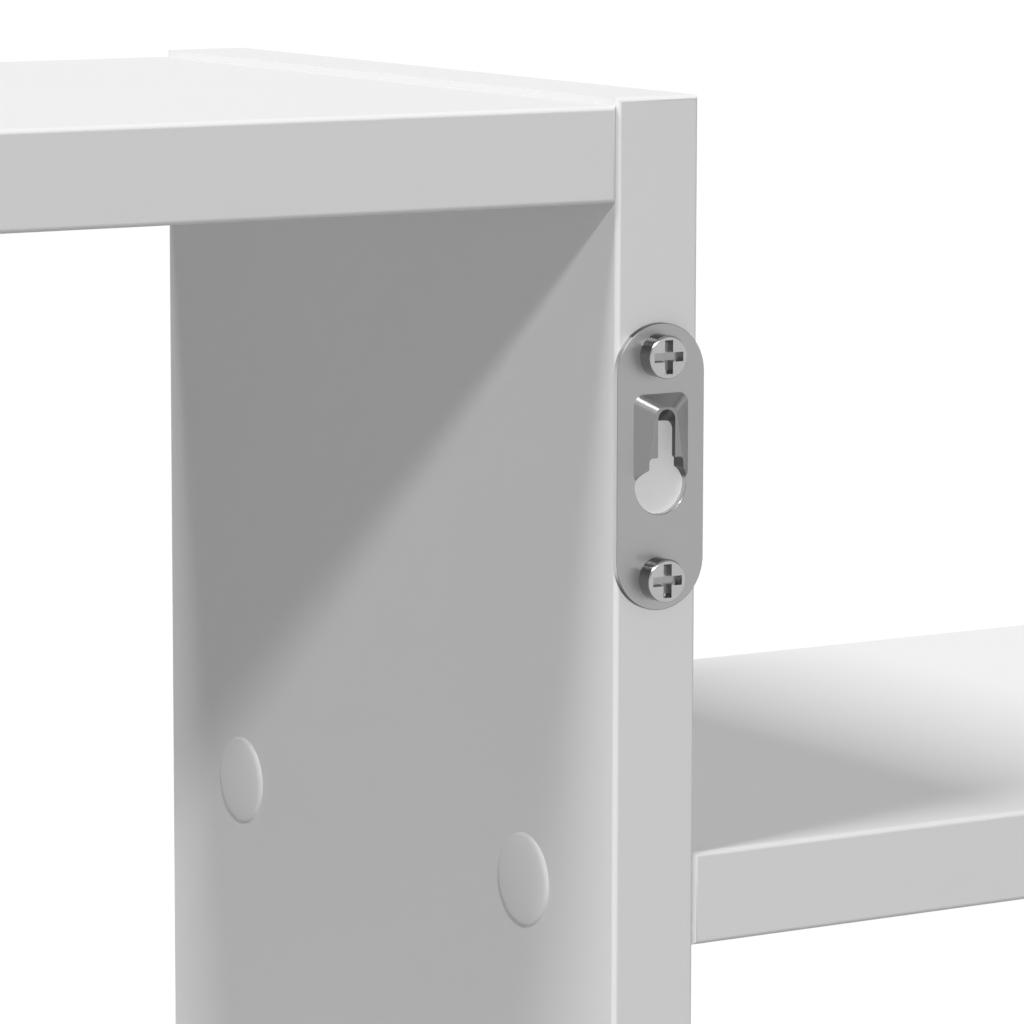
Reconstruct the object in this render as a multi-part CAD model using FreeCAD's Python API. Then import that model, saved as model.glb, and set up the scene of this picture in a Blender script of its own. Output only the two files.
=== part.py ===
import FreeCAD, Part
import math
import os

# Wall shelf: four uprights and six shelves that make three staggered cells.
# Millimetres, +Z up. The front faces -Y and the wall is on the +Y side.
# The origin is at the middle of the footprint, at the foot of the uprights.

# Panels, and the strips glued on their cut edges
panel_thickness = 15.0
panel_depth = 150.0
edging_thickness = 1.0
edge_radius = 0.8

# Layout of the cells
cell_width = 260.0
cell_height = 222.0
upright_reveal = 1.2

# Connecting screws, driven through an upright into the end of a shelf
joint_setback = 27.0
joint_length = 50.0
joint_shank_diameter = 6.3
joint_head_diameter = 10.0
joint_head_depth = 1.85
joint_point_length = 6.0
joint_point_diameter = 1.6
socket_width = 4.0
socket_depth = 2.2
upright_hole_clearance = 0.2
pilot_clearance = 0.1
pilot_extra_depth = 1.0

# Cover caps on the heads of the connecting screws
cap_diameter = 15.0
cap_rim_height = 0.5
cap_dome_height = 0.7
cap_crown_diameter = 9.0
cap_stem_clearance = 0.1
cap_stem_end_gap = 0.6

# Keyhole plates, pressed from sheet, on the back edges of the inner uprights
plate_width = 16.0
plate_thickness = 1.1
plate_drop = 35.0
keyhole_diameter = 9.4
slot_width = 3.3
slot_travel = 10.35
boss_rise = 1.3
boss_side_rim = 0.65
boss_top_rim = 0.3
boss_side_run = 2.7
boss_top_run = 1.9
boss_foot_run = 1.2
boss_base_radius = 1.2
boss_rim_radius = 0.5
land_above_boss = 2.7
land_below_keyhole = 6.8
land_at_ends = 1.7

# Screws that hold the plates
plate_screw_head_diameter = 6.6
plate_screw_head_height = 3.0
plate_screw_shank_diameter = 3.5
plate_screw_length = 16.0
plate_screw_point_length = 4.0
plate_screw_point_diameter = 0.8
plate_screw_play = 1.2
plate_screw_edge_gap = 0.1
recess_width = 1.4
recess_reach = 2.6
recess_depth = 1.6
recess_floor_reach = 1.0

# How finely repeated round pieces are divided: flats round a screw or a cap, steps round a corner
screw_sides = 8
cap_sides = 20
corner_steps = 4

# Heights of the shelves and uprights
shelf_pitch = cell_height + panel_thickness
stagger = shelf_pitch / 2
short_upright_height = shelf_pitch + panel_thickness + 2 * upright_reveal
tall_upright_height = short_upright_height + stagger
side_bottom_z = upright_reveal
side_top_z = side_bottom_z + shelf_pitch
centre_bottom_z = side_bottom_z + stagger
centre_top_z = centre_bottom_z + shelf_pitch

# Front and back, with the screw heads behind counted in the footprint
rear_projection = plate_thickness + plate_screw_head_height
back_y = (panel_depth - rear_projection) / 2
front_y = back_y - panel_depth
core_front_y = front_y + edging_thickness
core_back_y = back_y - edging_thickness
middle_y = (front_y + back_y) / 2

# Lowest x and height of each upright, lowest x and z of each shelf
inner_x = cell_width / 2
outer_x = inner_x + panel_thickness + cell_width
uprights = {
    "outer_left": (-outer_x - panel_thickness, short_upright_height),
    "inner_left": (-inner_x - panel_thickness, tall_upright_height),
    "inner_right": (inner_x, tall_upright_height),
    "outer_right": (outer_x, short_upright_height),
}
shelves = {
    "left_bottom": (-outer_x, side_bottom_z),
    "left_top": (-outer_x, side_top_z),
    "centre_bottom": (-inner_x, centre_bottom_z),
    "centre_top": (-inner_x, centre_top_z),
    "right_bottom": (inner_x + panel_thickness, side_bottom_z),
    "right_top": (inner_x + panel_thickness, side_top_z),
}

# Heights on a keyhole plate, from the middle of its round hole
slot_top = slot_travel + slot_width / 2
boss_rim_top = slot_top + boss_top_rim
boss_top = boss_rim_top + boss_top_run
plate_head_radius = plate_screw_head_diameter / 2
upper_screw = boss_top + land_above_boss + plate_head_radius
lower_screw = -keyhole_diameter / 2 - land_below_keyhole - plate_head_radius
plate_top = upper_screw + plate_head_radius + land_at_ends
plate_bottom = lower_screw - plate_head_radius - land_at_ends
keyhole_z = tall_upright_height - plate_drop - plate_top

origin = FreeCAD.Vector(0, 0, 0)
axis_x = FreeCAD.Vector(1, 0, 0)
axis_y = FreeCAD.Vector(0, 1, 0)
axis_z = FreeCAD.Vector(0, 0, 1)


def placed(shape, point, direction):
    """A copy of a shape that was made along +Z, set at a point and along a direction."""
    copy = shape.copy()
    copy.Placement = FreeCAD.Placement(point, FreeCAD.Rotation(axis_z, direction))
    return copy


def flat_face(corners):
    return Part.Face(Part.makePolygon(corners + corners[:1]))


def skinned(outlines):
    """A solid with flat faces through outlines that have the same number of corners."""
    faces = [flat_face(outlines[0]), flat_face(outlines[-1])]
    for low, high in zip(outlines, outlines[1:]):
        for here in range(len(low)):
            after = (here + 1) % len(low)
            faces.append(flat_face([low[here], low[after], high[after], high[here]]))
    shell = Part.makeShell(faces)
    shell.sewShape()
    return Part.makeSolid(shell)


def ring(diameter, height, sides):
    """The corners of a regular polygon about the Z axis."""
    corners = []
    for step in range(sides):
        angle = 2 * math.pi * step / sides
        corners.append(FreeCAD.Vector(math.cos(angle), math.sin(angle), 0) * (diameter / 2) + axis_z * height)
    return corners


def hexagon(width, low, high):
    """A hexagonal prism about the Z axis, measured across its flats."""
    across_corners = width / math.cos(math.pi / 6)
    return skinned([ring(across_corners, low, 6), ring(across_corners, high, 6)])


def rounded_outline(half_width, bottom, top, radius, height):
    """The corners of an upright rectangle with its own corners rounded in steps."""
    centres = (
        (half_width - radius, top - radius),
        (radius - half_width, top - radius),
        (radius - half_width, bottom + radius),
        (half_width - radius, bottom + radius),
    )
    corners = []
    for quarter, (x, y) in enumerate(centres):
        for step in range(corner_steps + 1):
            angle = math.pi / 2 * (quarter + step / corner_steps)
            corners.append(FreeCAD.Vector(x + radius * math.cos(angle), y + radius * math.sin(angle), height))
    return corners


def stadium(width, bottom, top, depth):
    """A prism with round ends, up from z = 0. Its ends are at the given heights along Y."""
    radius = width / 2
    prism = Part.makeBox(width, top - bottom - width, depth, FreeCAD.Vector(-radius, bottom + radius, 0))
    for height in (bottom + radius, top - radius):
        prism = prism.fuse(Part.makeCylinder(radius, depth, FreeCAD.Vector(0, height, 0)))
    return prism.removeSplitter()


def edging_strip(length, seat, outward, along):
    """An edging strip, its glued face centred on the seat and its outer corners rounded."""
    corner = FreeCAD.Vector(-panel_thickness / 2, 0, -length / 2)
    strip = Part.makeBox(panel_thickness, edging_thickness, length, corner)
    outer_edges = [edge for edge in strip.Edges
                   if edge.BoundBox.YMin > edging_thickness / 2 and edge.BoundBox.ZLength > length / 2]
    strip = strip.makeFillet(min(edge_radius, 0.9 * edging_thickness), outer_edges)
    strip.Placement = FreeCAD.Placement(seat, FreeCAD.Rotation(outward.cross(along), outward, along))
    return strip


def upright_core(x, height):
    """The board of an upright inside its edging."""
    corner = FreeCAD.Vector(x, core_front_y, edging_thickness)
    return Part.makeBox(panel_thickness, core_back_y - core_front_y, height - 2 * edging_thickness, corner)


def upright_edging(x, height):
    """Strips on the front, back, top and foot. Front and back run the full height."""
    middle_x = x + panel_thickness / 2
    core_depth = core_back_y - core_front_y
    front = edging_strip(height, FreeCAD.Vector(middle_x, core_front_y, height / 2), -axis_y, axis_z)
    back = edging_strip(height, FreeCAD.Vector(middle_x, core_back_y, height / 2), axis_y, axis_z)
    top_seat = FreeCAD.Vector(middle_x, middle_y, height - edging_thickness)
    foot_seat = FreeCAD.Vector(middle_x, middle_y, edging_thickness)
    top = edging_strip(core_depth, top_seat, axis_z, axis_y)
    foot = edging_strip(core_depth, foot_seat, -axis_z, axis_y)
    return [front, back, top, foot]


def shelf_core(x, z):
    """The board of a shelf between its front and back edging."""
    return Part.makeBox(cell_width, core_back_y - core_front_y, panel_thickness,
                        FreeCAD.Vector(x, core_front_y, z))


def shelf_edging(x, z):
    middle_x = x + cell_width / 2
    middle_z = z + panel_thickness / 2
    front = edging_strip(cell_width, FreeCAD.Vector(middle_x, core_front_y, middle_z), -axis_y, axis_x)
    back = edging_strip(cell_width, FreeCAD.Vector(middle_x, core_back_y, middle_z), axis_y, axis_x)
    return [front, back]


def joint_screw():
    """A connecting screw along +Z: countersunk head flush with z = 0, plain shank, hexagon socket."""
    body = skinned([
        ring(joint_head_diameter, 0, screw_sides),
        ring(joint_shank_diameter, joint_head_depth, screw_sides),
        ring(joint_shank_diameter, joint_length - joint_point_length, screw_sides),
        ring(joint_point_diameter, joint_length, screw_sides),
    ])
    return body.cut(hexagon(socket_width, 0, socket_depth))


def joint_hole():
    """The countersunk hole in an upright, along +Z from the face under the cap."""
    diameter = joint_shank_diameter + upright_hole_clearance
    narrowing = (joint_head_diameter - diameter) / (joint_head_diameter - joint_shank_diameter)
    return skinned([
        ring(joint_head_diameter, 0, screw_sides),
        ring(diameter, joint_head_depth * narrowing, screw_sides),
        ring(diameter, panel_thickness, screw_sides),
    ])


def joint_pilot():
    """The blind hole in the end of a shelf, along +Z from the face under the cap."""
    diameter = joint_shank_diameter + pilot_clearance
    return skinned([
        ring(diameter, panel_thickness, screw_sides),
        ring(diameter, joint_length + pilot_extra_depth, screw_sides),
    ])


def cover_cap():
    """A domed cap: its underside lies at z = 0, its dome faces -Z and its stem points to +Z."""
    disc = skinned([
        ring(cap_diameter, 0, cap_sides),
        ring(cap_diameter, -cap_rim_height, cap_sides),
        ring(cap_crown_diameter, -cap_rim_height - cap_dome_height, cap_sides),
    ])
    return disc.fuse(hexagon(socket_width - cap_stem_clearance, 0, socket_depth - cap_stem_end_gap))


def sheet_shift(run):
    """How far the inner edge of a pressed slope lies inside the outer one, seen square to the sheet."""
    return plate_thickness * math.tan(math.atan2(boss_rise, run) / 2)


def boss(base_height, side_shift, top_shift):
    """The pressed form round the slot, sloping up from its base to a narrow rim."""
    rim_half = slot_width / 2 + boss_side_rim
    base_half = rim_half + boss_side_run
    base = rounded_outline(base_half - side_shift, 0, boss_top - top_shift, boss_base_radius, base_height)
    rim = rounded_outline(rim_half - side_shift, boss_foot_run, boss_rim_top - top_shift,
                          boss_rim_radius, base_height + boss_rise)
    return skinned([base, rim])


def keyhole_plate():
    """A pressed plate: its back lies at z = 0 and the middle of its round hole is on the Z axis."""
    through = plate_thickness + boss_rise
    hole_diameter = plate_screw_shank_diameter + plate_screw_play
    plate = stadium(plate_width, plate_bottom, plate_top, plate_thickness)
    plate = plate.fuse(boss(plate_thickness, 0, 0))
    plate = plate.cut(boss(0, sheet_shift(boss_side_run), sheet_shift(boss_top_run)))
    plate = plate.cut(Part.makeCylinder(keyhole_diameter / 2, through))
    plate = plate.cut(stadium(slot_width, -slot_width / 2, slot_top, through))
    for height in (lower_screw, upper_screw):
        seat = FreeCAD.Vector(0, height, 0)
        plate = plate.cut(Part.makeCylinder(hole_diameter / 2, plate_thickness, seat))
    return plate


def recess_arm(turn):
    """One bar of the cross in a plate screw's head, shorter at its floor."""
    outlines = []
    for reach, height in ((recess_floor_reach, -recess_depth), (recess_reach, 0)):
        half = recess_width / 2
        corners = ((-reach, -half), (reach, -half), (reach, half), (-reach, half))
        outlines.append([FreeCAD.Vector(x, y, plate_screw_head_height + height) for x, y in corners])
    arm = skinned(outlines)
    arm.rotate(origin, axis_z, turn)
    return arm


def plate_screw():
    """A plate screw along +Z: its head stands on z = 0 and its plain shank goes down."""
    head = Part.makeCylinder(plate_head_radius, plate_screw_head_height)
    for turn in (0, 90):
        head = head.cut(recess_arm(turn))
    shank = skinned([
        ring(plate_screw_point_diameter, -plate_screw_length, screw_sides),
        ring(plate_screw_shank_diameter, plate_screw_point_length - plate_screw_length, screw_sides),
        ring(plate_screw_shank_diameter, 0, screw_sides),
    ])
    return head.fuse(shank)


def plate_pilot():
    """The blind hole for a plate screw, down from the panel's back edge at z = 0."""
    diameter = plate_screw_shank_diameter + pilot_clearance
    depth = plate_screw_length - plate_thickness + pilot_extra_depth
    return skinned([ring(diameter, -depth, screw_sides), ring(diameter, 0, screw_sides)])


def joints_of(upright_x):
    """The shelf ends at an upright: shelf, way the screws point, face under the caps, height."""
    found = []
    for shelf, (shelf_x, shelf_z) in shelves.items():
        middle_z = shelf_z + panel_thickness / 2
        if math.isclose(shelf_x, upright_x + panel_thickness):
            found.append((shelf, 1, upright_x, middle_z))
        if math.isclose(shelf_x + cell_width, upright_x):
            found.append((shelf, -1, upright_x + panel_thickness, middle_z))
    return found


def export(name, solids):
    Part.makeCompound(solids).exportStep("parts/" + name + ".step")


def make_upright(name, x, height, pilots):
    """An upright with its edging, screws and caps. Adds the holes that its screws need to the shelves."""
    holes = []
    screws = []
    caps = {1: [], -1: []}
    for shelf, way, face_x, middle_z in joints_of(x):
        for depth in (front_y + joint_setback, back_y - joint_setback):
            head = FreeCAD.Vector(face_x, depth, middle_z)
            holes.append(placed(joint_hole(), head, way * axis_x))
            screws.append(placed(joint_screw(), head, way * axis_x))
            caps[way].append(placed(cover_cap(), head, way * axis_x))
            pilots[shelf].append(placed(joint_pilot(), head, way * axis_x))
    core = upright_core(x, height).cut(holes)
    strips = upright_edging(x, height)
    if height == tall_upright_height:
        core, strips[1] = hang_plate(name, x, core, strips[1])
    export("upright_" + name, [core])
    export("edging_upright_" + name, strips)
    export("connecting_screws_" + name, screws)
    if caps[1]:
        export("cover_caps_" + name + "_left_face", caps[1])
    if caps[-1]:
        export("cover_caps_" + name + "_right_face", caps[-1])


def hang_plate(name, x, core, back_strip):
    """A keyhole plate on an upright's back edge, its screws set towards the shelf's middle.
    Returns the drilled board and strip."""
    middle = FreeCAD.Vector(x + panel_thickness / 2, back_y, keyhole_z)
    screw_offset = plate_screw_play / 2 - plate_screw_edge_gap
    if middle.x > 0:
        screw_offset = -screw_offset
    plate = keyhole_plate()
    plate.Placement = FreeCAD.Placement(middle, FreeCAD.Rotation(-axis_x, axis_z, axis_y))
    screws = []
    for height in (lower_screw, upper_screw):
        seat = middle + FreeCAD.Vector(screw_offset, 0, height)
        pilot = placed(plate_pilot(), seat, axis_y)
        core = core.cut(pilot)
        back_strip = back_strip.cut(pilot)
        screws.append(placed(plate_screw(), seat + axis_y * plate_thickness, axis_y))
    export("keyhole_plate_" + name, [plate])
    export("plate_screws_" + name, screws)
    return core, back_strip


os.makedirs("parts", exist_ok=True)

shelf_pilots = {shelf: [] for shelf in shelves}
for upright, (upright_x, upright_height) in uprights.items():
    make_upright(upright, upright_x, upright_height, shelf_pilots)
for shelf, (shelf_x, shelf_z) in shelves.items():
    export("shelf_" + shelf, [shelf_core(shelf_x, shelf_z).cut(shelf_pilots[shelf])])
    export("edging_shelf_" + shelf, shelf_edging(shelf_x, shelf_z))
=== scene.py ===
import math

import bmesh
import bpy
from mathutils import Matrix, Vector


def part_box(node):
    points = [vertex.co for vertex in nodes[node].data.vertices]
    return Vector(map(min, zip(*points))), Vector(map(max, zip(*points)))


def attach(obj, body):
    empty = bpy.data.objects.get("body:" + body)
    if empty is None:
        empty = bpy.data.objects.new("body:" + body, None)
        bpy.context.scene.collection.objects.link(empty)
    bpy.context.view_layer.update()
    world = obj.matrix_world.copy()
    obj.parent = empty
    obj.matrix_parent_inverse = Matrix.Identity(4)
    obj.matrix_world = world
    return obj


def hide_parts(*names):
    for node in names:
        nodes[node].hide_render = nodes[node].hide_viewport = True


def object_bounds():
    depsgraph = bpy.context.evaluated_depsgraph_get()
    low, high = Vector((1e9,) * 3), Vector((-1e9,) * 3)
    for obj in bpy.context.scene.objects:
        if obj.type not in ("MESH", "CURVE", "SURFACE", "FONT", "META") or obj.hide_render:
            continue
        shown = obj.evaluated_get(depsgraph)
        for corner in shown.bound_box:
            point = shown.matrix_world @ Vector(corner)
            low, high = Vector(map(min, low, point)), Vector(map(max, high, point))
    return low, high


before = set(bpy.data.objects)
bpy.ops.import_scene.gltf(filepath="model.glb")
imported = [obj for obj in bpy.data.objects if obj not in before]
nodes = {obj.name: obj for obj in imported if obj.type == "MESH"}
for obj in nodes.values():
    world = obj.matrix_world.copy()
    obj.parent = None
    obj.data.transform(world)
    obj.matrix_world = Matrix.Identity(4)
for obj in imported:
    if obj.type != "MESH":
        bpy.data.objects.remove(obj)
cad_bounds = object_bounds()

# Lengths are in metres, and smoothing angles in degrees
MM = 0.001
TINY = 0.1 * MM

# Boards and their edging
EDGE_RADIUS = 0.8 * MM
EDGE_STEPS = 5
EDGING_THICKNESS = 1.0 * MM
PILOT_RADIUS = 3.2 * MM
PILOT_DEPTH = 36.0 * MM
JOINT_SETBACK = 27.0 * MM
DRILL_SIDES = 32
BOARD_SMOOTHING = 40

# Cover caps
CAP_RADIUS = 7.5 * MM
CAP_HEIGHT = 1.2 * MM
CAP_RIM_HEIGHT = 0.4 * MM
CAP_RIM_ROUNDING = 0.12 * MM
CAP_RIM_EASE = 0.3 * CAP_RIM_ROUNDING
CAP_DOME_STEPS = 12
CAP_SIDES = 72
CAP_STEM_WIDTH = 3.9 * MM
CAP_STEM_LENGTH = 1.6 * MM
CAP_STEM_SIDES = 6
CAP_SMOOTHING = 35

# Keyhole plates, measured from the middle of the round hole
SHEET = 1.1 * MM
PLATE_WIDTH = 16.0 * MM
PLATE_TOP = 25.2 * MM
PLATE_BOTTOM = -19.8 * MM
PLATE_END_STEPS = 24
PLATE_SCREW_HEIGHTS = (-14.8 * MM, 20.2 * MM)
PLATE_SCREW_HOLE = 2.35 * MM
BOSS_RISE = 1.7 * MM
BOSS_HALF_WIDTH = 5.0 * MM
BOSS_BOTTOM = 0.3 * MM
BOSS_TOP = 14.2 * MM
BOSS_CORNER = 1.6 * MM
BOSS_CORNER_STEPS = 5
RIM_HALF_WIDTH = 1.9 * MM
RIM_FOOT_HALF_WIDTH = 3.3 * MM
RIM_BOTTOM = 1.2 * MM
RIM_TOP = 12.3 * MM
RIM_CORNER = 1.3 * MM
KEYHOLE_RADIUS = 4.7 * MM
SHOULDER_HEIGHT = 3.5 * MM
NECK_HALF_WIDTH = 3.15 * MM
NECK_TOP = 4.4 * MM
NECK_CORNER = 0.7 * MM
NECK_CORNER_STEPS = 8
SLOT_RADIUS = 1.58 * MM
SLOT_TRAVEL = 10.35 * MM
SLOT_END_SLANT = 0.85
SLOT_END_STEPS = 20
CHANNEL_HALF_WIDTH = 2.8 * MM
CHANNEL_BOTTOM = -3.0 * MM
CHANNEL_TOP = 9.9 * MM
CHANNEL_CORNER = 1.5 * MM
CHANNEL_CORNER_STEPS = 12
CHANNEL_DEPTH = 2.0 * MM
PRESS_ROUNDING = 0.14 * MM
PRESS_STEPS = 3
PRESS_SMOOTHING = 32

# Shaping of the plate: the share of a width that rounds an end fully, and the cutters' sides and reach
FULL_ROUND = 0.4999
PUNCH_SIDES = 96
CUTTER_REACH = 10.0 * MM
CUTTER_SPARE = 1.0 * MM

# What counts on the plate as one point, a sliver, flat, a crease, the front and a steep face
MERGE_DISTANCE = 0.03 * MM
SLIVER_WIDTH = 0.005 * MM
FLAT_DEGREES = 0.5
CREASE_DEGREES = 18
FRONT_LEVEL = 0.9 * SHEET
STEEP = 0.3

# Plate screws
HEAD_RADIUS = 3.4 * MM
HEAD_HEIGHT = 3.0 * MM
HEAD_ROUNDING = 0.36 * MM
HEAD_STEPS = 8
SHANK_RADIUS = 1.75 * MM
SHANK_LENGTH = 16.0 * MM
SHANK_CLEARANCE = 0.1 * MM
POINT_LENGTH = 4.0 * MM
POINT_RADIUS = 0.4 * MM
RECESS_REACH = 2.65 * MM
RECESS_HALF_WIDTH = 0.75 * MM
RECESS_DEPTH = 1.25 * MM
RECESS_SPARE = 0.025 * MM
RECESS_FLOOR_REACH = 0.82
RECESS_FLOOR_WIDTH = 0.8
SCREW_SIDES = 64
SCREW_SMOOTHING = 32

QUARTER_TURN = math.pi / 2
ALONG_X = (0, QUARTER_TURN, 0)
ALONG_Y = (QUARTER_TURN, 0, 0)
Y_AXIS = Vector((0, 1, 0))
Z_AXIS = Vector((0, 0, 1))
ORIGIN = (0, 0, 0)


# Steps of work that many pieces share

def deselect_all():
    bpy.ops.object.select_all(action="DESELECT")


def pick(*objects):
    """Selects these objects, the first of them active."""
    deselect_all()
    for item in objects:
        item.select_set(True)
    bpy.context.view_layer.objects.active = objects[0]


def edit(item):
    """Edit mode on one object, with all of its mesh selected."""
    pick(item)
    bpy.ops.object.mode_set(mode="EDIT")
    bpy.ops.mesh.select_all(action="SELECT")


def leave_edit():
    bpy.ops.object.mode_set(mode="OBJECT")


def named(item, name):
    item.name = name
    item.data.name = name
    return item


def set_in_mesh(item):
    """Puts an object's place, turn and scale into its mesh."""
    pick(item)
    bpy.ops.object.transform_apply(location=True, rotation=True, scale=True)


def place(item, turn, point):
    """Turns a piece that was made about the Z axis and sets it at a point."""
    item.matrix_world = Matrix.Translation(point) @ turn.to_4x4()
    set_in_mesh(item)


def twin_of(item):
    """A copy with its own mesh, in the same place."""
    pick(item)
    bpy.ops.object.duplicate(linked=False)
    return bpy.context.object


def copy_of(item, name, shift=ORIGIN):
    """A named copy with its own mesh, moved by a shift."""
    twin = twin_of(item)
    twin.location = shift
    set_in_mesh(twin)
    return named(twin, name)


def joined(items, name):
    pick(*items)
    bpy.ops.object.join()
    return named(bpy.context.object, name)


def apply_modifier(item, kind, **settings):
    pick(item)
    modifier = item.modifiers.new(kind.title(), kind)
    for key, value in settings.items():
        setattr(modifier, key, value)
    bpy.ops.object.modifier_apply(modifier=modifier.name)


def cut_away(item, cutter):
    """Takes one shape out of another and deletes the cutter."""
    apply_modifier(item, "BOOLEAN", operation="DIFFERENCE", object=cutter, solver="EXACT")
    bpy.data.objects.remove(cutter)


def smoothed(item, angle):
    """Smooth over gentle turns, sharp over others, and flat on the large faces."""
    pick(item)
    bpy.ops.object.shade_smooth_by_angle(angle=math.radians(angle))
    apply_modifier(item, "WEIGHTED_NORMAL", keep_sharp=True)


def choose_edges(item, wanted):
    """In edit mode, selects the edges that pass a test."""
    bpy.ops.mesh.select_mode(type="EDGE")
    bpy.ops.mesh.select_all(action="DESELECT")
    mesh = bmesh.from_edit_mesh(item.data)
    for edge in mesh.edges:
        edge.select = wanted(edge)
    bmesh.update_edit_mesh(item.data)


def select_edges(item, wanted):
    """In edit mode, selects the edges whose two ends pass a test."""
    choose_edges(item, lambda edge: wanted(edge.verts[0].co, edge.verts[1].co))


def draw_up(height):
    """In edit mode, extrudes what is selected along Z."""
    bpy.ops.mesh.extrude_region_move(TRANSFORM_OT_translate={"value": (0, 0, height)})


def resize(shares, middle=ORIGIN):
    """In edit mode, resizes what is selected about a point."""
    bpy.ops.transform.resize(value=shares, center_override=middle)


def face_outward():
    """In edit mode, selects the whole shape and turns its faces outward."""
    bpy.ops.mesh.select_all(action="SELECT")
    bpy.ops.mesh.normals_make_consistent(inside=False)


def block(low, high):
    """A box between two corners."""
    deselect_all()
    bpy.ops.mesh.primitive_cube_add(size=1, location=(low + high) / 2)
    item = bpy.context.object
    item.scale = high - low
    set_in_mesh(item)
    return item


def rod(sides, radius, length, middle, turn=ORIGIN):
    """A bar about its middle, along Z unless it is turned."""
    deselect_all()
    bpy.ops.mesh.primitive_cylinder_add(vertices=sides, radius=radius, depth=length,
                                        location=middle, rotation=turn)
    return bpy.context.object


def ring_stack(sides, rings):
    """A turned shape about the Z axis, drawn up from a disc ring by ring: radius and height of each."""
    radius, height = rings[0]
    deselect_all()
    bpy.ops.mesh.primitive_circle_add(vertices=sides, radius=radius, fill_type="NGON",
                                      location=(0, 0, height))
    item = bpy.context.object
    set_in_mesh(item)
    edit(item)
    for next_radius, next_height in rings[1:]:
        draw_up(next_height - height)
        ratio = next_radius / radius
        resize((ratio, ratio, 1), (0, 0, next_height))
        radius, height = next_radius, next_height
    face_outward()
    leave_edit()
    return item


def rounded_loop(half_width, bottom, top, corner, steps, height):
    """A flat outline with round corners, lying in a plane of constant z, as one face."""
    deselect_all()
    bpy.ops.mesh.primitive_plane_add(size=1, location=(0, (bottom + top) / 2, height))
    item = bpy.context.object
    item.scale = (2 * half_width, top - bottom, 1)
    set_in_mesh(item)
    edit(item)
    bpy.ops.mesh.bevel(offset=corner, segments=steps, affect="VERTICES")
    leave_edit()
    return item


def prism(half_width, bottom, top, corner, steps, low, high):
    """A rounded outline drawn up into a block."""
    item = rounded_loop(half_width, bottom, top, corner, steps, low)
    edit(item)
    draw_up(high - low)
    face_outward()
    leave_edit()
    return item


# Boards and edging

def box_of(*names):
    """The box round several CAD nodes."""
    boxes = [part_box(name) for name in names]
    low = Vector(min(box[0][axis] for box in boxes) for axis in range(3))
    high = Vector(max(box[1][axis] for box in boxes) for axis in range(3))
    return low, high


def rounded_board(low, high):
    """A board with rounded edges at its front and back. Those that run from front to back stay square."""
    board = block(low, high)
    edit(board)
    select_edges(board, lambda a, b: abs(a.y - b.y) < EDGE_RADIUS)
    bpy.ops.mesh.bevel(offset=EDGE_RADIUS, segments=EDGE_STEPS, affect="EDGES")
    leave_edit()
    return board


def slice_of(board, cuts):
    """A copy of a board without what lies beyond each plane. A cut is a point and the way out."""
    piece = twin_of(board)
    for point, outward in cuts:
        edit(piece)
        bpy.ops.mesh.bisect(plane_co=point, plane_no=outward, use_fill=True, clear_outer=True)
        leave_edit()
    return piece


def seams(low, high):
    """Where the glue lines run: points on the inner faces of the edging."""
    inset = Vector((EDGING_THICKNESS,) * 3)
    return low + inset, high - inset


def screw_seats(name):
    """The points on a plate's face under its two screw heads."""
    plate_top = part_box("keyhole_plate_" + name)[1].z
    low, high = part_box("plate_screws_" + name)
    return [Vector(((low.x + high.x) / 2, high.y - HEAD_HEIGHT, plate_top - PLATE_TOP + height))
            for height in PLATE_SCREW_HEIGHTS]


def upright_edging(name):
    """The four strips round an upright, cut from one rounded board. Under a plate the back one is drilled."""
    low, high = box_of("upright_" + name, "edging_upright_" + name)
    board = rounded_board(low, high)
    inner_low, inner_high = seams(low, high)
    back_strip = slice_of(board, [(inner_high, -Y_AXIS)])
    if name.startswith("inner"):
        for seat in screw_seats(name):
            drill = rod(DRILL_SIDES, SHANK_RADIUS + SHANK_CLEARANCE, 2 * SHANK_LENGTH, seat, ALONG_Y)
            cut_away(back_strip, drill)
    between = [(inner_low, -Y_AXIS), (inner_high, Y_AXIS)]
    strips = [
        back_strip,
        slice_of(board, [(inner_low, Y_AXIS)]),
        slice_of(board, between + [(inner_high, -Z_AXIS)]),
        slice_of(board, between + [(inner_low, Z_AXIS)]),
    ]
    bpy.data.objects.remove(board)
    return joined(strips, "edging_strips_upright_" + name)


def shelf_with_edging(name):
    """A shelf's board with its drilled ends, and its front and back strips."""
    low, high = box_of("shelf_" + name, "edging_shelf_" + name)
    board = rounded_board(low, high)
    inner_low, inner_high = seams(low, high)
    core = slice_of(board, [(inner_low, -Y_AXIS), (inner_high, Y_AXIS)])
    strips = [slice_of(board, [(inner_low, Y_AXIS)]), slice_of(board, [(inner_high, -Y_AXIS)])]
    bpy.data.objects.remove(board)
    middle_z = (low.z + high.z) / 2
    for end in (low.x, high.x):
        for depth in (low.y + JOINT_SETBACK, high.y - JOINT_SETBACK):
            drill = rod(DRILL_SIDES, PILOT_RADIUS, 2 * PILOT_DEPTH, (end, depth, middle_z), ALONG_X)
            cut_away(core, drill)
    return named(core, "board_shelf_" + name), joined(strips, "edging_strips_shelf_" + name)


# Cover caps

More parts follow.
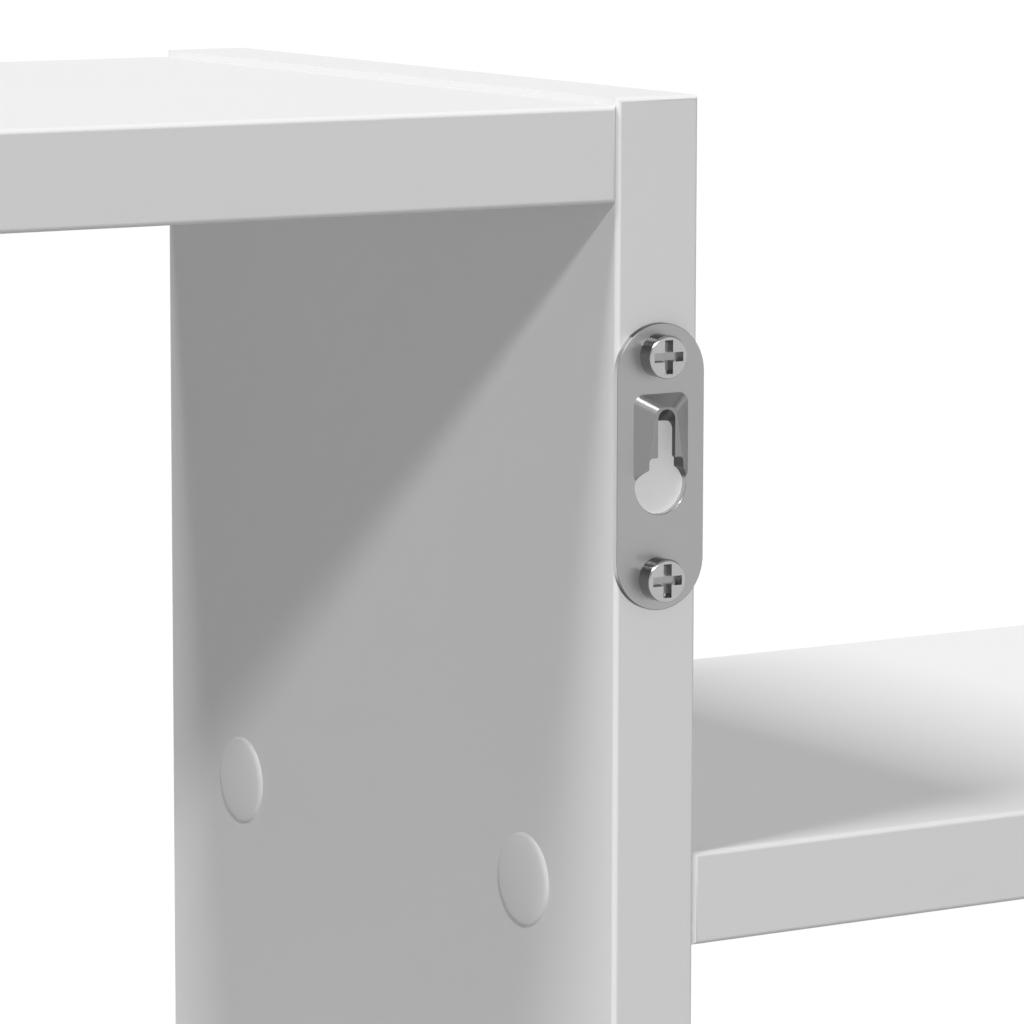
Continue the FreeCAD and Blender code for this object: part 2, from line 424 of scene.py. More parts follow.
def cover_cap():
    """A domed cap about the Z axis, its underside at z = 0 and a hexagonal stem below."""
    rings = [
        (CAP_RADIUS, 0),
        (CAP_RADIUS, CAP_RIM_HEIGHT - CAP_RIM_ROUNDING),
        (CAP_RADIUS - CAP_RIM_EASE, CAP_RIM_HEIGHT - CAP_RIM_EASE),
    ]
    dome_radius = CAP_RADIUS - CAP_RIM_ROUNDING
    for step in range(CAP_DOME_STEPS):
        angle = QUARTER_TURN * step / CAP_DOME_STEPS
        rise = (CAP_HEIGHT - CAP_RIM_HEIGHT) * math.sin(angle)
        rings.append((dome_radius * math.cos(angle), CAP_RIM_HEIGHT + rise))
    dome = ring_stack(CAP_SIDES, rings)
    stem_radius = CAP_STEM_WIDTH / 2 / math.cos(math.pi / CAP_STEM_SIDES)
    stem = rod(CAP_STEM_SIDES, stem_radius, CAP_STEM_LENGTH, (0, 0, -CAP_STEM_LENGTH / 2))
    cap = joined([dome, stem], "cap")
    smoothed(cap, CAP_SMOOTHING)
    return cap


# Keyhole plates and their screws

def pressed_boss():
    """The raised boss as a skin: its rim, wider at the foot, and the slopes down to the flat."""
    rim_height = SHEET + BOSS_RISE
    rim = rounded_loop(RIM_HALF_WIDTH, RIM_BOTTOM, RIM_TOP, RIM_CORNER, BOSS_CORNER_STEPS, rim_height)
    edit(rim)
    select_edges(rim, lambda a, b: max(a.y, b.y) < (RIM_BOTTOM + RIM_TOP) / 2)
    resize((RIM_FOOT_HALF_WIDTH / RIM_HALF_WIDTH, 1, 1))
    leave_edit()
    base = rounded_loop(BOSS_HALF_WIDTH, BOSS_BOTTOM, BOSS_TOP, BOSS_CORNER, BOSS_CORNER_STEPS, SHEET)
    boss = joined([rim, base], "boss")
    edit(boss)
    bpy.ops.mesh.delete(type="ONLY_FACE")
    bpy.ops.mesh.select_all(action="SELECT")
    bpy.ops.mesh.bridge_edge_loops()
    select_edges(boss, lambda a, b: min(a.z, b.z) > SHEET + BOSS_RISE / 2)
    bpy.ops.mesh.edge_face_add()
    leave_edit()
    return boss


def pressed_sheet():
    """The plate's front as one skin: the raised boss and the flat round it."""
    boss = pressed_boss()
    end_rounding = FULL_ROUND * PLATE_WIDTH
    outline = rounded_loop(PLATE_WIDTH / 2, PLATE_BOTTOM, PLATE_TOP, end_rounding, PLATE_END_STEPS, SHEET)
    edit(outline)
    bpy.ops.mesh.delete(type="ONLY_FACE")
    leave_edit()
    sheet = joined([boss, outline], "plate")
    edit(sheet)
    select_edges(sheet, lambda a, b: max(a.z, b.z) < SHEET + BOSS_RISE / 2)
    bpy.ops.mesh.fill(use_beauty=True)
    face_outward()
    leave_edit()
    if sum(face.normal.z * face.area for face in sheet.data.polygons) < 0:
        edit(sheet)
        bpy.ops.mesh.flip_normals()
        leave_edit()
    return sheet


def channel_cutter():
    """The channel behind the slot, cut from the plate's back."""
    return prism(CHANNEL_HALF_WIDTH, CHANNEL_BOTTOM, CHANNEL_TOP, CHANNEL_CORNER, CHANNEL_CORNER_STEPS,
                 -CUTTER_REACH, CHANNEL_DEPTH)


def round_hole_punch():
    """The round hole, its upper half flattened into shoulders."""
    punch = rod(PUNCH_SIDES, KEYHOLE_RADIUS, 2 * CUTTER_REACH, ORIGIN)
    edit(punch)
    select_edges(punch, lambda a, b: min(a.y, b.y) > TINY)
    resize((1, SHOULDER_HEIGHT / KEYHOLE_RADIUS, 1))
    leave_edit()
    return punch


def neck_cutter():
    """The neck between the round hole and the slot."""
    return prism(NECK_HALF_WIDTH, 0, NECK_TOP, NECK_CORNER, NECK_CORNER_STEPS, -CUTTER_REACH, CUTTER_REACH)


def slot_cutter():
    """The slot as a block whose upper end slants down towards the plate's back."""
    rim_height = SHEET + BOSS_RISE
    ends = (-CUTTER_SPARE, rim_height + CUTTER_SPARE)
    end_rounding = FULL_ROUND * 2 * SLOT_RADIUS
    slot = prism(SLOT_RADIUS, 0, SLOT_TRAVEL + SLOT_RADIUS, end_rounding, SLOT_END_STEPS, *ends)
    edit(slot)
    for end in ends:
        select_edges(slot, lambda a, b: max(abs(a.z - end), abs(b.z - end)) < TINY
                     and min(a.y, b.y) > SLOT_TRAVEL / 2)
        bpy.ops.transform.translate(value=(0, SLOT_END_SLANT * (end - rim_height), 0))
    leave_edit()
    return slot


def is_press_edge(edge):
    """True for the front's edges that are rounded: all but those round the neck and the slot."""
    a, b = edge.verts[0].co, edge.verts[1].co
    middle = (a + b) / 2
    slopes = [face.normal.z for face in edge.link_faces]
    on_front = min(a.z, b.z) > FRONT_LEVEL and max(slopes) > STEEP
    on_neck = min(slopes) < STEEP and abs(middle.x) < BOSS_HALF_WIDTH and 0 < middle.y < BOSS_TOP
    on_slot = math.hypot(middle.x, middle.y - SLOT_TRAVEL) < SLOT_RADIUS + TINY
    creased = edge.calc_face_angle(0) > math.radians(CREASE_DEGREES)
    return on_front and creased and not on_neck and not on_slot


def keyhole_plate():
    """A pressed plate about the middle of its round hole, lying on z = 0 with its top towards +Y."""
    plate = pressed_sheet()
    edit(plate)
    draw_up(-SHEET)
    resize((1, 1, 0))
    face_outward()
    leave_edit()
    cut_away(plate, channel_cutter())
    cut_away(plate, round_hole_punch())
    for height in PLATE_SCREW_HEIGHTS:
        cut_away(plate, rod(PUNCH_SIDES, PLATE_SCREW_HOLE, 2 * CUTTER_REACH, (0, height, 0)))
    cut_away(plate, neck_cutter())
    cut_away(plate, slot_cutter())
    edit(plate)
    bpy.ops.mesh.remove_doubles(threshold=MERGE_DISTANCE)
    bpy.ops.mesh.dissolve_limited(angle_limit=math.radians(FLAT_DEGREES))
    choose_edges(plate, is_press_edge)
    bpy.ops.mesh.bevel(offset=PRESS_ROUNDING, segments=PRESS_STEPS, affect="EDGES", clamp_overlap=False)
    bpy.ops.mesh.select_all(action="SELECT")
    bpy.ops.mesh.dissolve_degenerate(threshold=SLIVER_WIDTH)
    leave_edit()
    smoothed(plate, PRESS_SMOOTHING)
    return plate


def recess_bar(turn):
    """One bar of the cross recess as a cutter, narrower towards its floor."""
    floor_height = HEAD_HEIGHT - RECESS_DEPTH
    bar = block(Vector((-RECESS_REACH, -RECESS_HALF_WIDTH, floor_height)),
                Vector((RECESS_REACH, RECESS_HALF_WIDTH, HEAD_HEIGHT + RECESS_SPARE)))
    edit(bar)
    select_edges(bar, lambda a, b: max(a.z, b.z) < floor_height + RECESS_DEPTH / 2)
    resize((RECESS_FLOOR_REACH, RECESS_FLOOR_WIDTH, 1), (0, 0, floor_height))
    leave_edit()
    place(bar, Matrix.Rotation(turn, 3, "Z"), ORIGIN)
    return bar


def plate_screw():
    """A pan-head screw about the Z axis, its head's seat on z = 0 and its point below."""
    rings = [
        (POINT_RADIUS, -SHANK_LENGTH),
        (SHANK_RADIUS, POINT_LENGTH - SHANK_LENGTH),
        (SHANK_RADIUS, 0),
        (HEAD_RADIUS, 0),
    ]
    for step in range(HEAD_STEPS + 1):
        angle = QUARTER_TURN * step / HEAD_STEPS
        rings.append((HEAD_RADIUS - HEAD_ROUNDING * (1 - math.cos(angle)),
                      HEAD_HEIGHT - HEAD_ROUNDING * (1 - math.sin(angle))))
    screw = ring_stack(SCREW_SIDES, rings)
    for turn in (0, QUARTER_TURN):
        cut_away(screw, recess_bar(turn))
    smoothed(screw, SCREW_SMOOTHING)
    return named(screw, "screw")


# Nodes that the finishes are made of

def new_group(name, inputs, outputs):
    group = bpy.data.node_groups.new(name, "ShaderNodeTree")
    for label, kind in inputs:
        group.interface.new_socket(name=label, in_out="INPUT", socket_type=kind)
    for label, kind in outputs:
        group.interface.new_socket(name=label, in_out="OUTPUT", socket_type=kind)
    return group, group.nodes.new("NodeGroupInput"), group.nodes.new("NodeGroupOutput")


def feed(tree, value, socket):
    """Gives a socket a fixed value, or links it to another socket."""
    if isinstance(value, bpy.types.NodeSocket):
        tree.links.new(value, socket)
    else:
        socket.default_value = value


def math_node(tree, operation, first, second=0.0):
    """A Math node fed by two sockets or numbers."""
    node = tree.nodes.new("ShaderNodeMath")
    node.operation = operation
    feed(tree, first, node.inputs[0])
    feed(tree, second, node.inputs[1])
    return node.outputs["Value"]


def product(tree, first, second):
    return math_node(tree, "MULTIPLY", first, second)


def size_of(tree, value):
    """A value without its sign."""
    return math_node(tree, "ABSOLUTE", value)


def ramp(tree, value, start, end, low=0.0, high=1.0):
    """Eases from a low to a high output while a value goes from start to end."""
    node = tree.nodes.new("ShaderNodeMapRange")
    node.interpolation_type = "SMOOTHSTEP"
    for label, number in (("From Min", start), ("From Max", end), ("To Min", low), ("To Max", high)):
        node.inputs[label].default_value = number
    tree.links.new(value, node.inputs["Value"])
    return node.outputs["Result"]


def mixed_colour(tree, share, first, second):
    """A Mix node: the first colour where the share is 0, the second where it is 1."""
    node = tree.nodes.new("ShaderNodeMix")
    node.data_type = "RGBA"
    tree.links.new(share, node.inputs["Factor"])
    feed(tree, first, node.inputs["A"])
    feed(tree, second, node.inputs["B"])
    return node.outputs["Result"]


def grey(value):
    return (value, value, value, 1)


def noise(tree, coordinates, scale, detail):
    node = tree.nodes.new("ShaderNodeTexNoise")
    node.inputs["Detail"].default_value = detail
    tree.links.new(coordinates, node.inputs["Vector"])
    tree.links.new(scale, node.inputs["Scale"])
    return node.outputs["Fac"]


def spread(tree, value, amount, middle):
    """Swings a noise value, which lies about a half, round a middle by an amount each way."""
    swing = product(tree, math_node(tree, "SUBTRACT", value, 0.5), amount)
    return math_node(tree, "ADD", product(tree, swing, 2), middle)


def split(tree, label):
    """X, Y and Z of a coordinate, such as Normal for the way that a surface faces or Object for its place."""
    node = tree.nodes.new("ShaderNodeSeparateXYZ")
    tree.links.new(tree.nodes.new("ShaderNodeTexCoord").outputs[label], node.inputs["Vector"])
    return node.outputs


FLOAT, COLOUR, VECTOR = "NodeSocketFloat", "NodeSocketColor", "NodeSocketVector"
SURFACE_INPUTS = [("Color", COLOUR), ("Cloud Scale", FLOAT), ("Cloud Amount", FLOAT), ("Roughness", FLOAT),
                  ("Roughness Spread", FLOAT), ("Grain Scale", FLOAT), ("Stretch", VECTOR)]
SURFACE_OUTPUTS = [("Color", COLOUR), ("Roughness", FLOAT), ("Height", FLOAT)]
CLOUD_DETAIL = 3
GRAIN_DETAIL = 2


def surface_group():
    """Soft clouding of the colour, and a fine grain in the roughness and the height."""
    group, given, result = new_group("clouded_grain", SURFACE_INPUTS, SURFACE_OUTPUTS)
    place_on = group.nodes.new("ShaderNodeTexCoord").outputs["Object"]
    stretched = group.nodes.new("ShaderNodeVectorMath")
    stretched.operation = "MULTIPLY"
    group.links.new(place_on, stretched.inputs[0])
    group.links.new(given.outputs["Stretch"], stretched.inputs[1])
    cloud = noise(group, stretched.outputs["Vector"], given.outputs["Cloud Scale"], CLOUD_DETAIL)
    grain = noise(group, stretched.outputs["Vector"], given.outputs["Grain Scale"], GRAIN_DETAIL)
    tone = spread(group, cloud, given.outputs["Cloud Amount"], 1)
    tinted = group.nodes.new("ShaderNodeVectorMath")
    tinted.operation = "SCALE"
    group.links.new(given.outputs["Color"], tinted.inputs[0])
    group.links.new(tone, tinted.inputs["Scale"])
    group.links.new(tinted.outputs["Vector"], result.inputs["Color"])
    rough = spread(group, grain, given.outputs["Roughness Spread"], given.outputs["Roughness"])
    group.links.new(rough, result.inputs["Roughness"])
    group.links.new(grain, result.inputs["Height"])
    return group


clouded_grain = surface_group()


def finish(name, constants, bump_strength, bump_distance, surface):
    """A material with the shared surface effect and its own constants on the shader."""
    material = bpy.data.materials.new(name)
    material.use_nodes = True
    tree = material.node_tree
    shader = tree.nodes["Principled BSDF"]
    for label, value in constants.items():
        shader.inputs[label].default_value = value
    effect = tree.nodes.new("ShaderNodeGroup")
    effect.node_tree = clouded_grain
    effect.name = "surface"
    for label, value in surface.items():
        effect.inputs[label].default_value = value
    bump = tree.nodes.new("ShaderNodeBump")
    bump.inputs["Strength"].default_value = bump_strength
    bump.inputs["Distance"].default_value = bump_distance
    tree.links.new(effect.outputs["Color"], shader.inputs["Base Color"])
    tree.links.new(effect.outputs["Roughness"], shader.inputs["Roughness"])
    tree.links.new(effect.outputs["Height"], bump.inputs["Height"])
    tree.links.new(bump.outputs["Normal"], shader.inputs["Normal"])
    return material


# Tones of the finishes and of painted highlights and painted shade, from 0 for black to 1 for white
WHITE = 0.845
# Painted highlight on the uprights' rounded edges
ROUNDED_HIGHLIGHT_WHITE = 0.9
# Painted shade on the edging's trimmed sides, deeper in the light that they throw on
TRIMMED_SHADE_WHITE = 0.8
TRIMMED_THROWN_SHADE = 0.3
# Painted shade on the boards' sides just below the uprights' top strips
STRIP_SHADE_WHITE = 0.76
PLATE_FLAT = 0.378
# Painted shade on the boss's raised flats
PLATE_RIM_SHADE = 0.27
# Painted shade on the boss's slopes, the side slopes darkest
PLATE_SLOPE_SHADE = 0.235
PLATE_TOP_SLOPE_SHADE = 0.33
# Painted highlight on the boss's ridges
PLATE_RIDGE_HIGHLIGHT = 0.34
PLATE_CUT = 0.6
# Painted shade on the cut walls up the neck and round the slot
PLATE_NECK_SHADE = 0.13
# Painted shade on the plate's faces that look down
PLATE_CUT_BELOW_SHADE = 0.16
PLATE_BELOW_SHADE = 0.12
HEAD_FACE = 0.45
# Painted shade on the heads' turned sides
HEAD_SIDE_SHADE = 0.24
RECESS_WALL = 0.46
# Painted shade towards the recess's floor
RECESS_FLOOR_SHADE = 0.32
JOINT_SCREW = (0.45, 0.44, 0.42, 1)

# Roughness of the metals, and how much less of it a plate has in reflections
PLATE_ROUGHNESS = 0.42
RIDGE_ROUGHNESS = 0.22
MIRROR_SHARPENING = 0.3
HEAD_FACE_ROUGHNESS = 0.2
HEAD_SIDE_ROUGHNESS = 0.12

# How far a normal has to point one way for a face to begin to be, and to be fully, of a kind
TRIMMED_SIDEWAYS = (0.9, 0.99)
ROUNDED_SIDEWAYS = (0.15, 0.45)
LEVEL_BACKWARD = (0.93, 0.985)
CUT_BACKWARD = (0.65, 0.35)
BELOW_UPWARD = (-0.15, -0.6)
SLOPE_UPWARD = (0.35, 0.6)
RIDGE_SIDEWAYS = (0.08, 0.2)
RIDGE_UPWARD = (0.1, 0.25)
TURNED_BACKWARD = (0.5, 0.15)

# Where a tone begins and is full, as distances on a piece
# Where the painted shade below the top strips begins and is full
STRIP_SHADE_FADE = (1.6 * EDGING_THICKNESS, 1.3 * EDGING_THICKNESS)
BOSS_FADE = (1.1 * BOSS_HALF_WIDTH, BOSS_HALF_WIDTH)
RAISED_FADE = (0.5 * BOSS_RISE, 0.65 * BOSS_RISE)
NECK_FADE = (0.6 * MM, 1.8 * MM)
RECESS_FADE = (0.3 * RECESS_DEPTH, RECESS_DEPTH)

EVEN = (1, 1, 1)
MATT = {"Specular IOR Level": 0.1}
METAL = {"Metallic": 1}


def laminate(top):
    """White board, with painted shade on the sides of the tallest boards just below their top strips."""
    material = finish("white_laminate", MATT, bump_strength=0.05, bump_distance=0.1 * MM, surface={
        "Cloud Scale": 14, "Cloud Amount": 0.012, "Roughness": 0.85, "Roughness Spread": 0.06,
        "Grain Scale": 900, "Stretch": EVEN})
    tree = material.node_tree
    sideways = ramp(tree, size_of(tree, split(tree, "Normal")["X"]), *TRIMMED_SIDEWAYS)
    # Painted shade: the sides are greyer just below the top strips.
    by_strip = ramp(tree, split(tree, "Object")["Z"], *(top - depth for depth in STRIP_SHADE_FADE))
    colour = mixed_colour(tree, product(tree, sideways, by_strip), grey(WHITE), grey(STRIP_SHADE_WHITE))
    feed(tree, colour, tree.nodes["surface"].inputs["Color"])
    return material


def edge_strip():
    """White edging, with a painted highlight on the uprights' rounded edges and painted shade on the trimmed
    sides, deepest in the light that they throw on."""
    material = finish("white_edge_strip", MATT, bump_strength=0.04, bump_distance=0.1 * MM, surface={
        "Cloud Scale": 20, "Cloud Amount": 0.01, "Roughness": 0.8, "Roughness Spread": 0.06,
        "Grain Scale": 700, "Stretch": (1, 1, 0.6)})
    tree = material.node_tree
    sideways = size_of(tree, split(tree, "Normal")["X"])
    trimmed = ramp(tree, sideways, *TRIMMED_SIDEWAYS)
    # Painted highlight: rounded edges that turn sideways are lighter than the plain white.
    colour = mixed_colour(tree, ramp(tree, sideways, *ROUNDED_SIDEWAYS), grey(WHITE), grey(ROUNDED_HIGHLIGHT_WHITE))
    # Painted shade: trimmed sides are greyer, and greyer still in the light that they throw on the boards
    # beside them.
    colour = mixed_colour(tree, trimmed, colour, grey(TRIMMED_SHADE_WHITE))
    thrown_on = tree.nodes.new("ShaderNodeLightPath").outputs["Is Diffuse Ray"]
    colour = mixed_colour(tree, product(tree, trimmed, thrown_on), colour, grey(TRIMMED_THROWN_SHADE))
    feed(tree, colour, tree.nodes["surface"].inputs["Color"])
    return material


def cap_plastic():
    """White plastic."""
    return finish("white_cap_plastic", MATT, bump_strength=0.06, bump_distance=0.1 * MM, surface={
        "Color": grey(WHITE), "Cloud Scale": 60, "Cloud Amount": 0.01, "Roughness": 0.65,
        "Roughness Spread": 0.08, "Grain Scale": 1600, "Stretch": EVEN})


def plated_steel(plate_middle, plate_face, hole_height):
    """Zinc on pressed steel with bright cut edges and smoother ridges, and painted light: painted shade on
    the slopes, raised flats, neck walls and faces that look down, and a painted highlight on the ridges.
    """
    material = finish("zinc_plated_steel", METAL, bump_strength=0.04, bump_distance=0.05 * MM, surface={
        "Cloud Scale": 120, "Cloud Amount": 0.02, "Roughness Spread": 0.04,
        "Grain Scale": 1800, "Stretch": (1, 1, 0.35)})
    tree = material.node_tree
    facing = split(tree, "Normal")
    spot = split(tree, "Object")
    from_middle = math_node(tree, "SUBTRACT", size_of(tree, spot["X"]), plate_middle)
    on_boss = ramp(tree, size_of(tree, from_middle), *BOSS_FADE)
    raised = ramp(tree, spot["Y"], *(plate_face + height for height in RAISED_FADE))
    up_neck = ramp(tree, spot["Z"], *(hole_height + height for height in NECK_FADE))
    level = ramp(tree, facing["Y"], *LEVEL_BACKWARD)
    cut = ramp(tree, facing["Y"], *CUT_BACKWARD)
    below = ramp(tree, facing["Z"], *BELOW_UPWARD)
    ridge = product(tree, ramp(tree, size_of(tree, facing["X"]), *RIDGE_SIDEWAYS),
                    ramp(tree, facing["Z"], *RIDGE_UPWARD))
    ridge = product(tree, ridge, on_boss)
    # Painted shade: the boss's slopes are darker than the flat, the side slopes most.
    slopes = mixed_colour(tree, ramp(tree, facing["Z"], *SLOPE_UPWARD),
                          grey(PLATE_SLOPE_SHADE), grey(PLATE_TOP_SLOPE_SHADE))
    # Painted shade: the boss's raised flats are darker than the plate's flat.
    flats = mixed_colour(tree, raised, grey(PLATE_FLAT), grey(PLATE_RIM_SHADE))
    # Painted shade: the cut walls on the boss above the round hole are dark.
    walls = mixed_colour(tree, product(tree, on_boss, up_neck), grey(PLATE_CUT), grey(PLATE_NECK_SHADE))
    # Painted shade: cut walls that look down are dark.
    walls = mixed_colour(tree, below, walls, grey(PLATE_CUT_BELOW_SHADE))
    colour = mixed_colour(tree, level, slopes, flats)
    # Painted highlight: the boss's ridges are lighter than the slopes beside them; they are also smoother.
    colour = mixed_colour(tree, ridge, colour, grey(PLATE_RIDGE_HIGHLIGHT))
    colour = mixed_colour(tree, cut, colour, walls)
    # Painted shade: every face that looks down is dark.
    colour = mixed_colour(tree, below, colour, grey(PLATE_BELOW_SHADE))
    feed(tree, colour, tree.nodes["surface"].inputs["Color"])
    in_mirror = tree.nodes.new("ShaderNodeLightPath").outputs["Is Glossy Ray"]
    rough = ramp(tree, ridge, 0, 1, PLATE_ROUGHNESS, RIDGE_ROUGHNESS)
    rough = math_node(tree, "SUBTRACT", rough, product(tree, in_mirror, MIRROR_SHARPENING))
    feed(tree, rough, tree.nodes["surface"].inputs["Roughness"])
    return material


def screw_steel(plate_middle, seats):
    """Nickel on steel, smoother on the heads' turned sides, with painted shade on those sides and towards the
    recess's floor.
    """
    material = finish("nickel_screw_steel", METAL, bump_strength=0.03, bump_distance=0.05 * MM, surface={
        "Cloud Scale": 250, "Cloud Amount": 0.05, "Roughness Spread": 0.08,
        "Grain Scale": 2500, "Stretch": EVEN})
    tree = material.node_tree
    spot = split(tree, "Object")
    lower, upper = seats
    head_face = lower.y + HEAD_HEIGHT
    across = math_node(tree, "SUBTRACT", size_of(tree, spot["X"]), plate_middle)
    from_halfway = size_of(tree, math_node(tree, "SUBTRACT", spot["Z"], (lower.z + upper.z) / 2))
    along = math_node(tree, "SUBTRACT", from_halfway, (upper.z - lower.z) / 2)
    from_axis = math_node(tree, "ADD", product(tree, across, across), product(tree, along, along))
    struck = ramp(tree, from_axis, (HEAD_RADIUS - HEAD_ROUNDING) ** 2, RECESS_REACH ** 2)
    sunk = product(tree, struck, ramp(tree, spot["Y"], *(head_face - depth for depth in RECESS_FADE)))
    turned = ramp(tree, size_of(tree, split(tree, "Normal")["Y"]), *TURNED_BACKWARD)
    # Painted shade: the heads' outer turned sides are darker than the recess walls.
    walls = mixed_colour(tree, struck, grey(HEAD_SIDE_SHADE), grey(RECESS_WALL))
    colour = mixed_colour(tree, turned, grey(HEAD_FACE), walls)
    # Painted shade: darker towards the recess's floor.
    colour = mixed_colour(tree, sunk, colour, grey(RECESS_FLOOR_SHADE))
    feed(tree, colour, tree.nodes["surface"].inputs["Color"])
    rough = ramp(tree, turned, 0, 1, HEAD_FACE_ROUGHNESS, HEAD_SIDE_ROUGHNESS)
    feed(tree, rough, tree.nodes["surface"].inputs["Roughness"])
    return material


def connecting_steel():
    """Plain steel of the screws that hold the shelves."""
    return finish("joint_screw_steel", METAL, bump_strength=0.05, bump_distance=0.05 * MM, surface={
        "Color": JOINT_SCREW, "Cloud Scale": 90, "Cloud Amount": 0.05, "Roughness": 0.35,
        "Roughness Spread": 0.1, "Grain Scale": 1500, "Stretch": (0.3, 1, 1)})


plate_low, plate_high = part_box("keyhole_plate_inner_right")
plate_centre = (plate_low.x + plate_high.x) / 2
white_laminate = laminate(cad_bounds[1][2])
white_edge_strip = edge_strip()
white_cap_plastic = cap_plastic()
zinc_plated_steel = plated_steel(plate_centre, plate_low.y + SHEET, plate_high.z - PLATE_TOP)
nickel_screw_steel = screw_steel(plate_centre, screw_seats("inner_right"))
joint_screw_steel = connecting_steel()


# Pieces in their places

def fit(piece, material, slot, *replaced):
    """Gives a piece its finish and puts it in the place of its CAD nodes."""
    piece.data.materials.clear()
    piece.data.materials.append(material)
    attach(piece, "root")
    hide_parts(*replaced)


def dress(node, material):
    for holder in nodes[node].material_slots:
        holder.material = material


# Uprights: the boards stay as they are, with rounded strips round them
for name in ("outer_left", "inner_left", "inner_right", "outer_right"):
    dress("upright_" + name, white_laminate)
    dress("connecting_screws_" + name, joint_screw_steel)
    strips = upright_edging(name)
    smoothed(strips, BOARD_SMOOTHING)
    fit(strips, white_edge_strip, "white_edging", "edging_upright_" + name)

# Shelves: one board with its strips, copied to the other five places
FIRST_SHELF = "left_bottom"
first_board, first_strips = shelf_with_edging(FIRST_SHELF)
smoothed(first_board, BOARD_SMOOTHING)
smoothed(first_strips, BOARD_SMOOTHING)
first_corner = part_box("shelf_" + FIRST_SHELF)[0]
for name in ("left_top", "centre_bottom", "centre_top", "right_bottom", "right_top", FIRST_SHELF):
    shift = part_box("shelf_" + name)[0] - first_corner
    board, strips = first_board, first_strips
    if name != FIRST_SHELF:
        board = copy_of(first_board, "board_shelf_" + name, shift)
        strips = copy_of(first_strips, "edging_strips_shelf_" + name, shift)
    fit(board, white_laminate, "white_panel", "shelf_" + name)
    fit(strips, white_edge_strip, "white_edging", "edging_shelf_" + name)

# Cover caps: four on each of these faces
first_cap = cover_cap()
for face in ("outer_left_left", "inner_left_left", "inner_left_right",
             "inner_right_left", "inner_right_right", "outer_right_right"):
    node = f"cover_caps_{face}_face"
    low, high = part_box(node)
    towards_left = face.endswith("_left")
    seat_x = low.x + CAP_HEIGHT if towards_left else high.x - CAP_HEIGHT
    turn = Matrix.Rotation(-QUARTER_TURN if towards_left else QUARTER_TURN, 3, "Y")
    caps = []
    for y in (low.y + CAP_RADIUS, high.y - CAP_RADIUS):
        for z in (low.z + CAP_RADIUS, high.z - CAP_RADIUS):
            cap = copy_of(first_cap, "cap")
            place(cap, turn, (seat_x, y, z))
            caps.append(cap)
    fit(joined(caps, f"caps_{face}_face"), white_cap_plastic, "white_cap", node)
bpy.data.objects.remove(first_cap)

# Keyhole plates and their screws, on the back edges of the inner uprights. They cast no shadows.
FROM_WALL = Matrix(((-1, 0, 0), (0, 0, 1), (0, 1, 0)))
first_plate = keyhole_plate()
first_screw = plate_screw()
for name in ("inner_left", "inner_right"):
    low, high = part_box("keyhole_plate_" + name)
    plate = copy_of(first_plate, "pressed_plate_" + name)
    place(plate, FROM_WALL, ((low.x + high.x) / 2, low.y, high.z - PLATE_TOP))
    plate.visible_shadow = False
    fit(plate, zinc_plated_steel, "plate_steel", "keyhole_plate_" + name)
    screws = []
    for seat in screw_seats(name):
        screw = copy_of(first_screw, "screw")
        place(screw, FROM_WALL, seat)
        screws.append(screw)
    screws = joined(screws, "pan_screws_" + name)
    screws.visible_shadow = False
    fit(screws, nickel_screw_steel, "plate_screw_steel", "plate_screws_" + name)
bpy.data.objects.remove(first_plate)
bpy.data.objects.remove(first_screw)


# Studio lamps

def hang(lamp, towards):
    """Turns a new lamp to shine from a direction."""
    holder = bpy.data.objects.new(lamp.name, lamp)
    holder.rotation_euler = Vector(towards).to_track_quat("Z", "Y").to_euler()
    bpy.context.scene.collection.objects.link(holder)
    return holder


def sun(name, towards, strength, width, in_gloss=True, in_matt=True):
    """A far lamp, given by the way to it, its strength and its width in degrees."""
    lamp = bpy.data.lights.new(name, "SUN")
    lamp.energy = strength
    lamp.angle = math.radians(width)
    holder = hang(lamp, towards)
    holder.visible_glossy = in_gloss
    holder.visible_diffuse = in_matt


def soft_box(name, towards, strength, width, height, distance):
    """A far rectangular lamp, given by the way to it, its strength and its two widths in degrees."""
    lamp = bpy.data.lights.new(name, "AREA")
    lamp.shape = "RECTANGLE"
    lamp.size = 2 * distance * math.tan(math.radians(width / 2))
    lamp.size_y = 2 * distance * math.tan(math.radians(height / 2))
    lamp.energy = strength * math.pi * distance ** 2
    hang(lamp, towards).location = distance * Vector(towards).normalized()


sun("key_light", towards=(0.333, 0.733, 0.594), strength=1.345, width=5.5)
soft_box("side_light", towards=(0.612, 0.03, 0.79), strength=2.2, width=16, height=20, distance=5000)
sun("metal_glint", towards=(-0.03, 0.90, 0.43), strength=0.4, width=14, in_matt=False)
sun("front_fill", towards=(0, -1, 0.03), strength=1.0, width=10, in_gloss=False)


# Studio floor and air, with other tones in the light that they throw on than where they are seen
FLOOR_WIDTH = 400
FLOOR_SEEN = 0.97
FLOOR_THROWN = 0.375
AIR_LOW = 1.0
AIR_HIGH = 0.40
AIR_THROWN = 0.25
AIR_FADE_START = 0.05
AIR_FADE_END = 0.4


def seen_directly(tree):
    """1 for rays that show a surface itself: camera, glossy and transmission rays."""
    path = tree.nodes.new("ShaderNodeLightPath")
    seen = math_node(tree, "MAXIMUM", path.outputs["Is Camera Ray"], path.outputs["Is Glossy Ray"])
    return math_node(tree, "MAXIMUM", seen, path.outputs["Is Transmission Ray"])


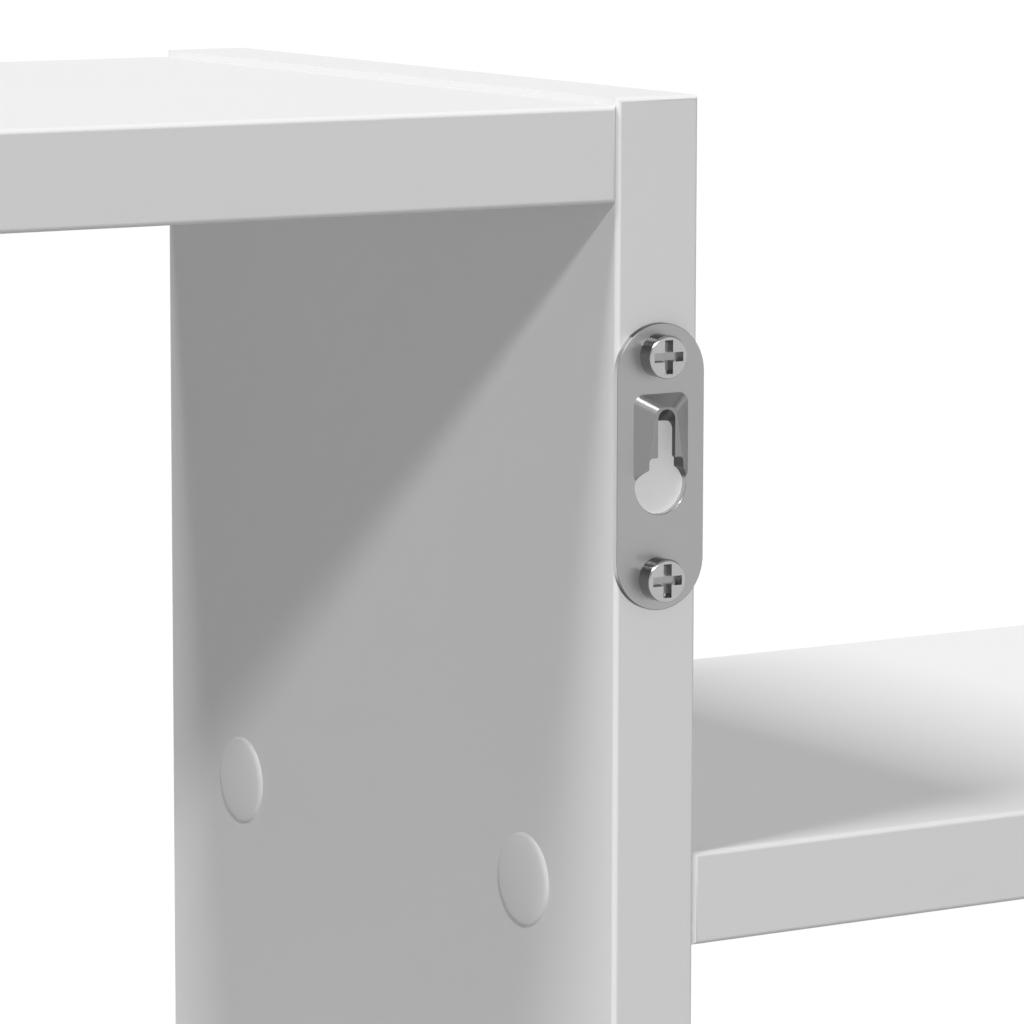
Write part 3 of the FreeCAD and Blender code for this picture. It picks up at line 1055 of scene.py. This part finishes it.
deselect_all()
bpy.ops.mesh.primitive_plane_add(size=FLOOR_WIDTH, location=(0, 0, cad_bounds[0][2]))
floor = named(bpy.context.object, "studio_floor")
set_in_mesh(floor)
floor_paper = bpy.data.materials.new("floor_paper")
floor_paper.use_nodes = True
floor_tree = floor_paper.node_tree
floor_shader = floor_tree.nodes["Principled BSDF"]
floor_shader.inputs["Roughness"].default_value = 1
floor_shader.inputs["Specular IOR Level"].default_value = 0
floor_tone = mixed_colour(floor_tree, seen_directly(floor_tree), grey(FLOOR_THROWN), grey(FLOOR_SEEN))
feed(floor_tree, floor_tone, floor_shader.inputs["Base Color"])
floor.data.materials.append(floor_paper)

world = bpy.data.worlds.new("studio_air")
bpy.context.scene.world = world
world.use_nodes = True
air = world.node_tree
fade = air.nodes.new("ShaderNodeMapRange")
fade.inputs["From Min"].default_value = AIR_FADE_START
fade.inputs["From Max"].default_value = AIR_FADE_END
air.links.new(split(air, "Generated")["Z"], fade.inputs["Value"])
air_seen = mixed_colour(air, fade.outputs["Result"], grey(AIR_LOW), grey(AIR_HIGH))
air_tone = mixed_colour(air, seen_directly(air), grey(AIR_THROWN), air_seen)
feed(air, air_tone, air.nodes["Background"].inputs["Color"])

# Camera, at the photograph's place
CAMERA_LENS = 183.54
CAMERA_SENSOR = 36
CAMERA_REACH = 1000
CAMERA_PLACE = (0.29829, 0.75006, 0.42530)
CAMERA_AZIMUTH = math.radians(148.836)
CAMERA_TILT = math.radians(81.72)
CAMERA_ROLL = math.radians(0.109)
camera_data = bpy.data.cameras.new("camera")
camera_data.lens = CAMERA_LENS
camera_data.sensor_width = CAMERA_SENSOR
camera_data.clip_end = CAMERA_REACH
camera = bpy.data.objects.new("camera", camera_data)
camera.matrix_world = (Matrix.Translation(CAMERA_PLACE)
                       @ Matrix.Rotation(CAMERA_AZIMUTH, 4, "Z")
                       @ Matrix.Rotation(CAMERA_TILT, 4, "X")
                       @ Matrix.Rotation(CAMERA_ROLL, 4, "Z"))
bpy.context.scene.collection.objects.link(camera)
bpy.context.scene.camera = camera
bpy.context.scene.view_settings.view_transform = "Standard"
